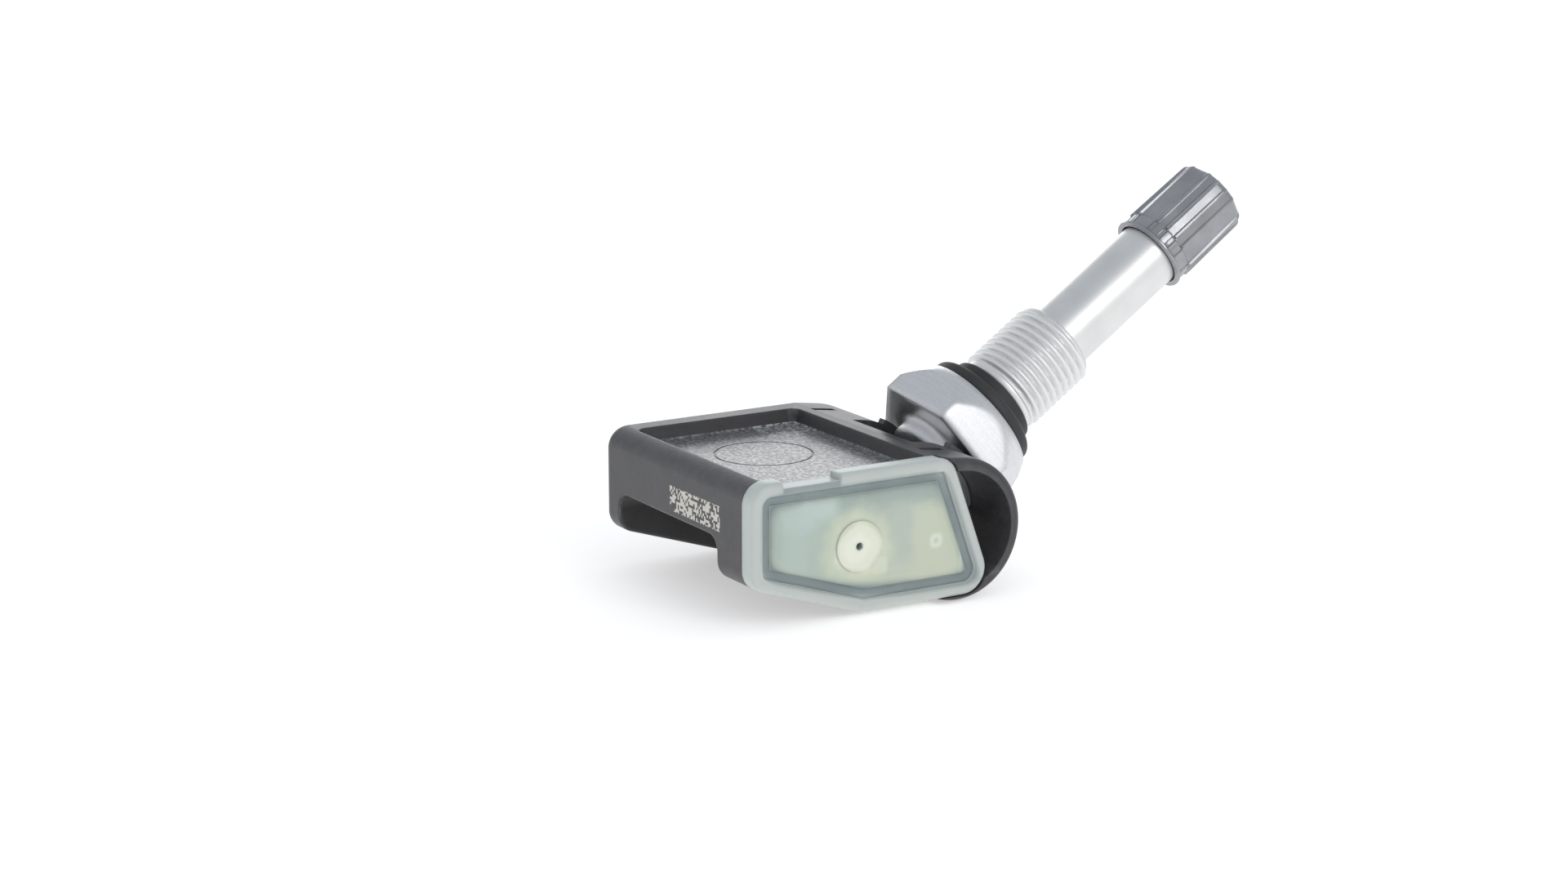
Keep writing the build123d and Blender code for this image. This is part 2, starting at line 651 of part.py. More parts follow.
def core_pin():
    """Pin with a collar for the spring and a cup for the seal."""
    cup_top = PIN_BOTTOM + CUP_HEIGHT
    return turned(
        (0, PIN_BOTTOM),
        (CUP_RADIUS, PIN_BOTTOM),
        (CUP_RADIUS, cup_top),
        (PIN_RADIUS, cup_top),
        (PIN_RADIUS, SPRING_HIGH),
        (PIN_COLLAR_RADIUS, SPRING_HIGH),
        (PIN_COLLAR_RADIUS, PIN_COLLAR_TOP),
        (PIN_RADIUS, PIN_COLLAR_TOP),
        (PIN_RADIUS, PIN_TOP),
        (0, PIN_TOP),
    )


def core_cup_seal():
    """Rubber washer in the pin's cup."""
    low = PIN_BOTTOM + CUP_HEIGHT
    return turned(
        (PIN_RADIUS, low),
        (CUP_SEAL_RADIUS, low),
        (CUP_SEAL_RADIUS, low + CUP_SEAL_HEIGHT),
        (PIN_RADIUS, low + CUP_SEAL_HEIGHT),
    )


def core_spring():
    """Coil spring that pushes the pin's collar outwards."""
    inset = SPRING_WIRE + SEAT_GAP
    height = SPRING_HIGH - SPRING_LOW - 2 * inset
    path = Pos(0, 0, SPRING_LOW + inset) * Helix(height / SPRING_TURNS, height, SPRING_RADIUS)
    wire = Plane(origin=path @ 0, z_dir=path % 0) * Circle(SPRING_WIRE)
    return sweep(wire, path=path, is_frenet=True)


# Dust cap
def cap_shell():
    """Fluted cap with a plain band and a thin lip at its mouth."""
    band_top = CAP_MOUTH + CAP_LIP_HEIGHT + CAP_BAND_HEIGHT
    mouth_bore = STEM_RADIUS + CAP_MOUTH_CLEARANCE
    shell = turned(
        (0, CAP_TIP),
        (CAP_TIP_RADIUS, CAP_TIP),
        (CAP_RADIUS, band_top),
        (CAP_BAND_RADIUS, band_top),
        (CAP_BAND_RADIUS, CAP_MOUTH + CAP_LIP_HEIGHT),
        (CAP_RADIUS, CAP_MOUTH + CAP_LIP_HEIGHT),
        (CAP_RADIUS, CAP_MOUTH),
        (mouth_bore, CAP_MOUTH),
        (mouth_bore, THREAD_START + CAP_MOUTH_CLEARANCE),
        (CAP_BORE, THREAD_START + CAP_MOUTH_CLEARANCE),
        (CAP_BORE, CAP_SEAL_HIGH),
        (0, CAP_SEAL_HIGH),
    )
    tip = shell.edges().group_by(Axis.Z)[-1]
    shell = fillet(tip, CAP_TIP_EDGE)
    flute = Box(2 * CAP_FLUTE_DEPTH, CAP_FLUTE_WIDTH, CAP_LENGTH)
    flute = Pos(CAP_RADIUS, 0, band_top + CAP_LENGTH / 2) * flute
    for place in PolarLocations(0, CAP_FLUTES):
        shell -= place * flute
    return shell


def cap_seal():
    """Rubber ring that the cap presses on the stem's tip."""
    return turned(
        (CAP_SEAL_BORE, CAP_SEAL_LOW),
        (TIP_THREAD_RADIUS, CAP_SEAL_LOW),
        (TIP_THREAD_RADIUS, CAP_SEAL_HIGH),
        (CAP_SEAL_BORE, CAP_SEAL_HIGH),
    )


PARTS = {
    "housing": HOUSE * housing(),
    "end_cover": HOUSE * end_cover(),
    "circuit_board": HOUSE * circuit_board(),
    "sensor_chip": HOUSE * sensor_chip(),
    "port_gasket": HOUSE * port_gasket(),
    "battery_cell": HOUSE * battery_cell(),
    "battery_tab_minus": HOUSE * battery_tab(ROOM_FLOOR, -1),
    "battery_tab_plus": HOUSE * battery_tab(CELL_HIGH, 1),
    "lf_coil_core": HOUSE * coil_core(),
    "lf_coil_winding": HOUSE * coil_winding(),
    "crystal": HOUSE * crystal(),
    "chip_capacitors": HOUSE * chip_capacitors(),
    "antenna_strap": HOUSE * antenna_strap(),
    "hex_base": VALVE * hex_base(),
    "clamp_block": clamp_block(),
    "valve_stem": VALVE * valve_stem(),
    "grommet": VALVE * grommet(),
    "core_barrel": VALVE * core_barrel(),
    "core_gasket": VALVE * core_gasket(),
    "core_pin": VALVE * core_pin(),
    "core_cup_seal": VALVE * core_cup_seal(),
    "core_spring": VALVE * core_spring(),
    "cap_shell": VALVE * cap_shell(),
    "cap_seal": VALVE * cap_seal(),
}

os.makedirs("parts", exist_ok=True)
for name, solid in PARTS.items():
    export_step(solid, f"parts/{name}.step")
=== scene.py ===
from math import cos, floor, pi, radians, sin, sqrt

import bpy
from mathutils import Matrix, Vector


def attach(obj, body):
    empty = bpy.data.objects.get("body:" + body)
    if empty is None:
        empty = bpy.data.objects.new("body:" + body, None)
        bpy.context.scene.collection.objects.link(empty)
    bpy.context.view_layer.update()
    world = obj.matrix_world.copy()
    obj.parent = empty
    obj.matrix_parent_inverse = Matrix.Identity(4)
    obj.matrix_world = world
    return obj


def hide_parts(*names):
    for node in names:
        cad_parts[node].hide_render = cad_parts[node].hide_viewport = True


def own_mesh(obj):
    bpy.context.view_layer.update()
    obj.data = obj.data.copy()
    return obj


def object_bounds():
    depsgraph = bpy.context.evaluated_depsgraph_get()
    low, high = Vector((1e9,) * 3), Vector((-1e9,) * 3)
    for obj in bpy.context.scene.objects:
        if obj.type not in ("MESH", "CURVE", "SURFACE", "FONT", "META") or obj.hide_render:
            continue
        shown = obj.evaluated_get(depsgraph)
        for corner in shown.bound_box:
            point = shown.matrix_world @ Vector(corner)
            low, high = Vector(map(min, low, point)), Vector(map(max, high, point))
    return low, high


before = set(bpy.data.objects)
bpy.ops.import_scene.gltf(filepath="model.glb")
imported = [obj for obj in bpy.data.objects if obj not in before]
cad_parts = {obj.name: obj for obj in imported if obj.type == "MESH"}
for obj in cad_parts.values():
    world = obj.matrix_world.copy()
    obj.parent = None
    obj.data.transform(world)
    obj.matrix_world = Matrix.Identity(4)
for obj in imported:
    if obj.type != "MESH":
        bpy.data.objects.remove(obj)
cad_box = [list(corner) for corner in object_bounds()]
scene = bpy.context.scene
MM = 0.001

# Valve axis and tilt axis of the solids, in the row frame
VALVE_LEAN = radians(34.4)
ALONG = Vector((cos(VALVE_LEAN), 0.0, sin(VALVE_LEAN)))
UPWARDS = Vector((-sin(VALVE_LEAN), 0.0, cos(VALVE_LEAN)))
ASIDE = ALONG.cross(UPWARDS)
PIVOT = Vector((0.0, 1.2 * MM, 0.0)) - 18.95 * MM * ALONG
VALVE = Matrix((UPWARDS, ASIDE, ALONG)).transposed().to_4x4()


# Node building
def add(tree, kind, inputs=None, **settings):
    """Adds a node, sets its properties, and sets or links its inputs."""
    made = tree.nodes.new(kind)
    for key, value in settings.items():
        setattr(made, key, value)
    for key, value in (inputs or {}).items():
        socket = made.inputs[key]
        if isinstance(value, bpy.types.NodeSocket):
            tree.links.new(value, socket)
        else:
            socket.default_value = value
    return made


def group(name, inputs, outputs):
    """Empty shader node group with float sockets."""
    tree = bpy.data.node_groups.new(name, "ShaderNodeTree")
    for label, value in inputs.items():
        socket = tree.interface.new_socket(label, in_out="INPUT", socket_type="NodeSocketFloat")
        socket.default_value = value
    for label in outputs:
        tree.interface.new_socket(label, in_out="OUTPUT", socket_type="NodeSocketFloat")
    start = tree.nodes.new("NodeGroupInput")
    end = tree.nodes.new("NodeGroupOutput")
    return tree, start.outputs, end.inputs


def use(tree, shared, **inputs):
    """Puts a shared group into a material."""
    return add(tree, "ShaderNodeGroup", inputs, node_tree=shared).outputs


def ramp(tree, value, stops):
    """Colour ramp over a value."""
    made = add(tree, "ShaderNodeValToRGB", {"Fac": value})
    points = made.color_ramp.elements
    while len(points) < len(stops):
        points.new(0.5)
    for point, (place, colour) in zip(points, stops):
        point.position = place
        point.color = (*colour, 1.0)
    return made.outputs["Color"]


def shift(tree, value, low, high, start=0.0, end=1.0):
    """Maps start..end to low..high."""
    inputs = {"Value": value, "From Min": start, "From Max": end, "To Min": low, "To Max": high}
    return add(tree, "ShaderNodeMapRange", inputs).outputs["Result"]


def blend(tree, mask, first, second):
    """Mixes two colours by a mask."""
    made = add(tree, "ShaderNodeMix", data_type="RGBA")
    for label, value in (("Factor", mask), ("A", first), ("B", second)):
        socket = [s for s in made.inputs if s.name == label and s.enabled][0]
        if isinstance(value, bpy.types.NodeSocket):
            tree.links.new(value, socket)
        else:
            socket.default_value = (*value, 1.0)
    return [s for s in made.outputs if s.enabled][0]


def maths(tree, operation, first, second=0.5):
    """One sum on two values."""
    made = add(tree, "ShaderNodeMath", operation=operation)
    for socket, value in zip(made.inputs, (first, second)):
        if isinstance(value, bpy.types.NodeSocket):
            tree.links.new(value, socket)
        else:
            socket.default_value = value
    return made.outputs[0]


# Shared surface effects
def place_group():
    """Place in millimetres from the tilt axis, and how far the surface faces the cover's side."""
    tree, _, result = group("pivot_place", {}, ("X", "Y", "Z", "Front"))
    spot = add(tree, "ShaderNodeTexCoord").outputs
    moved = add(tree, "ShaderNodeVectorMath", operation="MULTIPLY_ADD")
    tree.links.new(spot["Object"], moved.inputs[0])
    moved.inputs[1].default_value = (1 / MM, 1 / MM, 1 / MM)
    moved.inputs[2].default_value = -PIVOT / MM
    parts = add(tree, "ShaderNodeSeparateXYZ", {"Vector": moved.outputs[0]})
    for label in ("X", "Y", "Z"):
        tree.links.new(parts.outputs[label], result[label])
    faces = add(tree, "ShaderNodeSeparateXYZ", {"Vector": spot["Normal"]})
    front = add(tree, "ShaderNodeClamp", {"Value": maths(tree, "MULTIPLY", faces.outputs["Y"], -1.0)})
    tree.links.new(front.outputs[0], result["Front"])
    return tree


def soft_shape_group():
    """Mask of a round-cornered box with a soft edge, over two directions in millimetres."""
    sizes = {"Across": 0.0, "Up": 0.0, "AcrossMiddle": 0.0, "UpMiddle": 0.0}
    sizes |= {"AcrossHalf": 1.0, "UpHalf": 1.0, "Corner": 0.5, "Softness": 0.2}
    tree, given, result = group("soft_shape", sizes, ("Mask",))
    over = []
    for way in ("Across", "Up"):
        off = maths(tree, "ABSOLUTE", maths(tree, "SUBTRACT", given[way], given[way + "Middle"]))
        past = maths(tree, "MAXIMUM", maths(tree, "SUBTRACT", off, given[way + "Half"]), 0.0)
        over.append(maths(tree, "MULTIPLY", past, past))
    away = maths(tree, "SQRT", maths(tree, "ADD", *over))
    within = maths(tree, "SUBTRACT", given["Corner"], away)
    start = maths(tree, "MULTIPLY", given["Softness"], -1.0)
    limits = {"Value": within, "From Min": start, "From Max": given["Softness"]}
    mask = add(tree, "ShaderNodeMapRange", limits, interpolation_type="SMOOTHSTEP")
    tree.links.new(mask.outputs["Result"], result["Mask"])
    return tree


def stipple_group():
    """Fine moulded grain: a height, a slow patchiness and bright sparks."""
    tree, given, result = group("moulded_stipple", {"Scale": 1.0}, ("Height", "Patches", "Sparks"))
    place = add(tree, "ShaderNodeTexCoord").outputs["Object"]
    grain_scale = maths(tree, "MULTIPLY", given["Scale"], 4200.0)
    grain = add(tree, "ShaderNodeTexNoise", {"Vector": place, "Scale": grain_scale, "Detail": 2.0})
    pits = add(tree, "ShaderNodeTexVoronoi", {"Vector": place, "Scale": grain_scale})
    height = maths(tree, "MULTIPLY", grain.outputs["Fac"], pits.outputs["Distance"])
    tree.links.new(height, result["Height"])
    tree.links.new(shift(tree, grain.outputs["Fac"], 0.0, 1.0, 0.42, 0.66), result["Sparks"])
    broad = add(tree, "ShaderNodeTexNoise", {"Vector": place, "Scale": 240.0, "Detail": 4.0, "Roughness": 0.6})
    tree.links.new(broad.outputs["Fac"], result["Patches"])
    return tree


def edge_group():
    """Mask of paler convex edges, partly wear and partly painted highlight."""
    tree, given, result = group("edge_wear_and_highlight", {"Sharpness": 8.0}, ("Edges",))
    bend = add(tree, "ShaderNodeNewGeometry").outputs["Pointiness"]
    place = add(tree, "ShaderNodeTexCoord").outputs["Object"]
    rough = add(tree, "ShaderNodeTexNoise", {"Vector": place, "Scale": 900.0, "Detail": 3.0})
    lifted = maths(tree, "MULTIPLY", maths(tree, "SUBTRACT", bend, 0.5), given["Sharpness"])
    edges = maths(tree, "MULTIPLY", lifted, rough.outputs["Fac"])
    tree.links.new(add(tree, "ShaderNodeClamp", {"Value": edges}).outputs[0], result["Edges"])
    return tree


def turning_group():
    """Fine turning marks round the valve's axis, slow streaks, and the place along it in millimetres."""
    tree, given, result = group("turning_marks", {"Pitch": 1.0}, ("Height", "Streaks", "Along"))
    place = add(tree, "ShaderNodeTexCoord").outputs["Object"]
    turn = add(tree, "ShaderNodeVectorRotate", {"Vector": place, "Angle": VALVE_LEAN}, rotation_type="Y_AXIS")
    stretch = add(tree, "ShaderNodeMapping", {"Vector": turn.outputs[0], "Scale": (1.0, 0.04, 0.04)})
    marks_scale = maths(tree, "MULTIPLY", given["Pitch"], 9000.0)
    marks = add(tree, "ShaderNodeTexNoise", {"Vector": stretch.outputs[0], "Scale": marks_scale, "Detail": 3.0})
    tree.links.new(marks.outputs["Fac"], result["Height"])
    slow = add(tree, "ShaderNodeTexNoise", {"Vector": turn.outputs[0], "Scale": 260.0, "Detail": 4.0})
    tree.links.new(slow.outputs["Fac"], result["Streaks"])
    parts = add(tree, "ShaderNodeSeparateXYZ", {"Vector": turn.outputs[0]})
    tree.links.new(maths(tree, "MULTIPLY", parts.outputs["X"], 1 / MM), result["Along"])
    return tree


def handling_group():
    """Handling smudges that vary the gloss."""
    tree, given, result = group("handling", {"Amount": 1.0}, ("Smudges",))
    place = add(tree, "ShaderNodeTexCoord").outputs["Object"]
    cloud = add(tree, "ShaderNodeTexNoise", {"Vector": place, "Scale": 130.0, "Detail": 6.0, "Roughness": 0.65})
    tree.links.new(maths(tree, "MULTIPLY", cloud.outputs["Fac"], given["Amount"]), result["Smudges"])
    return tree


PLACE = place_group()
SOFT_SHAPE = soft_shape_group()
STIPPLE = stipple_group()
EDGES = edge_group()
TURNING = turning_group()
HANDLING = handling_group()


# Materials
def material(name):
    """New node material, its tree and its surface shader."""
    made = bpy.data.materials.new(name)
    made.use_nodes = True
    return made, made.node_tree, made.node_tree.nodes["Principled BSDF"]


def shape(tree, across, up, middle, half, corner, softness):
    """Soft box or disc as a mask."""
    return use(tree, SOFT_SHAPE, Across=across, Up=up, AcrossMiddle=middle[0], UpMiddle=middle[1],
               AcrossHalf=half[0], UpHalf=half[1], Corner=corner, Softness=softness)["Mask"]


def bump(tree, shader, height, strength, distance, soft_edge=0.0):
    """Puts a height on the shader's normal, over softened edges where a radius is given."""
    made = add(tree, "ShaderNodeBump", {"Height": height, "Strength": strength, "Distance": distance})
    if soft_edge:
        rounded = add(tree, "ShaderNodeBevel", {"Radius": soft_edge}, samples=6)
        tree.links.new(rounded.outputs[0], made.inputs["Normal"])
    tree.links.new(made.outputs[0], shader.inputs["Normal"])


def moulded_plastic(name, dark, light, roughness, grain, grain_depth):
    """Opaque moulded plastic with grain, patchy gloss and paler edges, partly wear and partly painted highlight."""
    made, tree, shader = material(name)
    stipple = use(tree, STIPPLE, Scale=grain)
    wear_and_highlight = use(tree, EDGES, Sharpness=9.0)
    hand = use(tree, HANDLING, Amount=1.0)
    colour = ramp(tree, stipple["Patches"], ((0.3, dark), (0.75, light)))
    # paler edges: partly wear, partly painted highlight
    colour = blend(tree, wear_and_highlight["Edges"], colour, tuple(min(1.0, 1.9 * v + 0.015) for v in light))
    tree.links.new(colour, shader.inputs["Base Color"])
    tree.links.new(shift(tree, hand["Smudges"], roughness - 0.1, roughness + 0.1), shader.inputs["Roughness"])
    bump(tree, shader, stipple["Height"], 0.5, grain_depth)
    return made


# Places on the housing, in millimetres from the tilt axis
CELL = 0.3
POCKET_FLOOR = 6.9
LEFT_WALL = -27.3


def charcoal_housing():
    """Grained charcoal moulding: a pocket floor with coarse sparks and a coat, painted paler as a painted sheen, a
    faint etched field, a pale speckled panel.
    """
    made, tree, shader = material("charcoal_housing")
    stipple = use(tree, STIPPLE, Scale=1.0)
    wear_and_highlight = use(tree, EDGES, Sharpness=9.0)
    hand = use(tree, HANDLING, Amount=1.0)
    place = use(tree, PLACE)
    colour = ramp(tree, stipple["Patches"], ((0.3, (0.030, 0.029, 0.031)), (0.75, (0.043, 0.041, 0.044))))
    # paler edges: partly wear, partly painted highlight
    colour = blend(tree, wear_and_highlight["Edges"], colour, (0.10, 0.10, 0.108))
    off_floor = maths(tree, "ABSOLUTE", maths(tree, "SUBTRACT", place["Z"], POCKET_FLOOR))
    low = maths(tree, "LESS_THAN", off_floor, 0.2)
    inside = shape(tree, place["X"], place["Y"], (-14.6, 0.0), (11.5, 14.0), 0.3, 0.2)
    floor_area = maths(tree, "MULTIPLY", low, inside)
    coarse = use(tree, STIPPLE, Scale=0.55)["Sparks"]
    # painted sheen: the pocket floor's colour is painted paler, standing in for its grazing reflection; the sparks
    # in it are grain
    floor_grain_and_sheen = ramp(tree, coarse, ((0.1, (0.075, 0.073, 0.078)), (0.9, (0.24, 0.236, 0.244))))
    colour = blend(tree, floor_area, colour, floor_grain_and_sheen)
    field = shape(tree, place["X"], place["Y"], (-5.6, 11.0), (3.8, 3.2), 0.4, 0.4)
    flecks = maths(tree, "MULTIPLY", maths(tree, "MULTIPLY", field, floor_area), coarse)
    colour = blend(tree, flecks, colour, (0.42, 0.42, 0.43))
    sheen = maths(tree, "MULTIPLY", floor_area, shift(tree, coarse, 0.35, 0.85))
    tree.links.new(sheen, shader.inputs["Coat Weight"])
    shader.inputs["Coat Roughness"].default_value = 0.3
    panel = shape(tree, place["Y"], place["Z"], (-4.45, 3.44), (5.6, 1.4), 0.05, 0.04)
    on_wall = maths(tree, "LESS_THAN", place["X"], LEFT_WALL + 0.15)
    corner = add(tree, "ShaderNodeCombineXYZ", {"Y": place["Y"], "Z": place["Z"]})
    cell = add(tree, "ShaderNodeVectorMath", operation="SNAP")
    tree.links.new(corner.outputs[0], cell.inputs[0])
    cell.inputs[1].default_value = (CELL, CELL, CELL)
    chance = add(tree, "ShaderNodeTexWhiteNoise", {"Vector": cell.outputs[0]})
    filled = maths(tree, "LESS_THAN", chance.outputs["Value"], 0.56)
    mark = maths(tree, "MULTIPLY", maths(tree, "MULTIPLY", panel, on_wall), filled)
    colour = blend(tree, mark, colour, (0.60, 0.57, 0.50))
    tree.links.new(colour, shader.inputs["Base Color"])
    gloss = shift(tree, hand["Smudges"], 0.30, 0.46)
    tree.links.new(gloss, shader.inputs["Roughness"])
    bump(tree, shader, stipple["Height"], 0.4, 0.00005, 0.0003)
    return made


def turned_metal(name, dark, light, roughness, pitch, depth):
    """Turned metal with marks round the valve's axis."""
    made, tree, shader = material(name)
    turned = use(tree, TURNING, Pitch=pitch)
    hand = use(tree, HANDLING, Amount=1.0)
    wear_and_highlight = use(tree, EDGES, Sharpness=7.0)
    colour = ramp(tree, turned["Streaks"], ((0.3, dark), (0.7, light)))
    # paler edges: partly wear, partly painted highlight
    colour = blend(tree, wear_and_highlight["Edges"], colour, tuple(min(1.0, 1.15 * v) for v in light))
    tree.links.new(colour, shader.inputs["Base Color"])
    tree.links.new(shift(tree, hand["Smudges"], roughness - 0.07, roughness + 0.09), shader.inputs["Roughness"])
    shader.inputs["Metallic"].default_value = 1.0
    bump(tree, shader, turned["Height"], 0.35, depth)
    return made


def brushed_nickel():
    """Plated hexagon with fine brush specks and softly rounded corners."""
    made, tree, shader = material("brushed_nickel")
    turned = use(tree, TURNING, Pitch=0.8)
    stipple = use(tree, STIPPLE, Scale=0.8)
    hand = use(tree, HANDLING, Amount=1.0)
    colour = ramp(tree, turned["Height"], ((0.35, (0.66, 0.665, 0.675)), (0.65, (0.72, 0.725, 0.735))))
    colour = blend(tree, shift(tree, stipple["Sparks"], 0.0, 0.28), colour, (0.54, 0.545, 0.555))
    tree.links.new(colour, shader.inputs["Base Color"])
    tree.links.new(shift(tree, hand["Smudges"], 0.26, 0.38), shader.inputs["Roughness"])
    shader.inputs["Metallic"].default_value = 1.0
    bump(tree, shader, turned["Height"], 0.12, 0.00001, 0.0013)
    return made


def turned_aluminium():
    """Satin stem and a duller blasted collar below it."""
    made, tree, shader = material("turned_aluminium")
    turned = use(tree, TURNING, Pitch=1.0)
    hand = use(tree, HANDLING, Amount=1.0)
    collar = shift(tree, turned["Along"], 1.0, 0.0, 10.0, 10.4)
    colour = ramp(tree, turned["Streaks"], ((0.3, (0.69, 0.69, 0.68)), (0.7, (0.75, 0.75, 0.74))))
    colour = blend(tree, collar, colour, (0.79, 0.79, 0.785))
    tree.links.new(colour, shader.inputs["Base Color"])
    satin = maths(tree, "ADD", shift(tree, hand["Smudges"], 0.36, 0.48), shift(tree, collar, 0.0, 0.05))
    tree.links.new(satin, shader.inputs["Roughness"])
    shader.inputs["Metallic"].default_value = 1.0
    bump(tree, shader, turned["Height"], 0.3, 0.000008)
    return made


def plain_rubber(name, dark, light):
    """Matt rubber with a dusty bloom."""
    made, tree, shader = material(name)
    stipple = use(tree, STIPPLE, Scale=0.8)
    wear_and_highlight = use(tree, EDGES, Sharpness=6.0)
    colour = ramp(tree, stipple["Patches"], ((0.3, dark), (0.75, light)))
    # paler edges: partly wear, partly painted highlight
    colour = blend(tree, wear_and_highlight["Edges"], colour, tuple(2.2 * v for v in light))
    tree.links.new(colour, shader.inputs["Base Color"])
    tree.links.new(shift(tree, stipple["Patches"], 0.45, 0.65), shader.inputs["Roughness"])
    bump(tree, shader, stipple["Height"], 0.3, 0.00002)
    return made


# Cover: outline edges as X share, Z share and start; tones by share of COVER_REACH inwards from the outline, with
# painted shade in the groove;
# soft forms as middle, half size, corner, softness, colour and amount, among them a painted shade and a painted
# highlight
COVER_REACH = 5.0
CRISP_BELOW = 0.4
COVER_EDGES = ((0.0, -1.0, 8.6), (1.0, 0.0, 27.3), (-0.940, -0.341, 1.995))
KEEL_EDGES = ((0.307, 0.952, 11.33), (0.0, 1.0, 7.75))
COVER_TONES_WITH_GROOVE_SHADE = (
    (0.0, (0.50, 0.53, 0.51)), (0.20, (0.50, 0.53, 0.505)), (0.32, (0.25, 0.295, 0.30)),
    (0.46, (0.205, 0.25, 0.255)), (0.61, (0.34, 0.385, 0.345)), (0.86, (0.50, 0.54, 0.465)),
)
BEHIND_COVER_AND_PAINTED_LIGHT = (
    # painted shade along the top of the field, under the rim
    ((-8.0, 5.2), (8.5, 0.7), 1.1, 1.1, (0.33, 0.40, 0.375), 0.65),
    ((-20.5, -0.5), (3.5, 5.0), 1.5, 1.5, (0.40, 0.485, 0.43), 0.8),
    ((-18.45, 5.6), (1.5, 1.15), 0.75, 0.75, (0.52, 0.60, 0.56), 0.75),
    ((-21.2, 4.2), (1.5, 0.8), 0.75, 0.75, (0.47, 0.555, 0.52), 0.8),
    ((-21.6, 0.4), (0.6, 2.2), 0.75, 0.75, (0.46, 0.54, 0.50), 0.6),
    ((-2.9, -1.2), (2.2, 3.4), 1.1, 1.0, (0.555, 0.59, 0.465), 0.8),
    # painted highlight: a thin bright line along the field's right edge
    ((0.25, -2.0), (0.02, 3.2), 0.2, 0.2, (0.70, 0.74, 0.68), 0.6),
    ((-8.2, 0.9), (0.7, 1.9), 0.8, 0.8, (0.42, 0.49, 0.43), 0.5),
    ((-13.6, -0.2), (0.0, 0.0), 4.2, 1.5, (0.62, 0.655, 0.50), 0.85),
    ((-10.6, -2.6), (0.5, 0.5), 0.5, 0.3, (0.66, 0.69, 0.55), 0.7),
    ((-13.6, -0.2), (0.0, 0.0), 2.8, 0.5, (0.74, 0.75, 0.64), 0.95),
    ((-13.6, -0.2), (0.0, 0.0), 1.6, 0.5, (0.80, 0.81, 0.70), 0.7),
    ((-3.1, -0.8), (0.2, 0.2), 0.6, 0.3, (0.70, 0.74, 0.64), 0.8),
    ((-3.1, -0.8), (0.0, 0.0), 0.3, 0.2, (0.50, 0.55, 0.46), 0.8),
)


def away_from(tree, place, edges, rounding):
    """Distance inwards from the nearest of some straight edges, rounded where they meet."""
    nearest = None
    for across, up, start in edges:
        sideways = maths(tree, "MULTIPLY", place["X"], across)
        away = maths(tree, "ADD", maths(tree, "ADD", sideways, maths(tree, "MULTIPLY", place["Z"], up)), start)
        if nearest is None:
            nearest = away
        else:
            joined = add(tree, "ShaderNodeMath", {0: nearest, 1: away, 2: rounding}, operation="SMOOTH_MIN")
            nearest = joined.outputs[0]
    return nearest


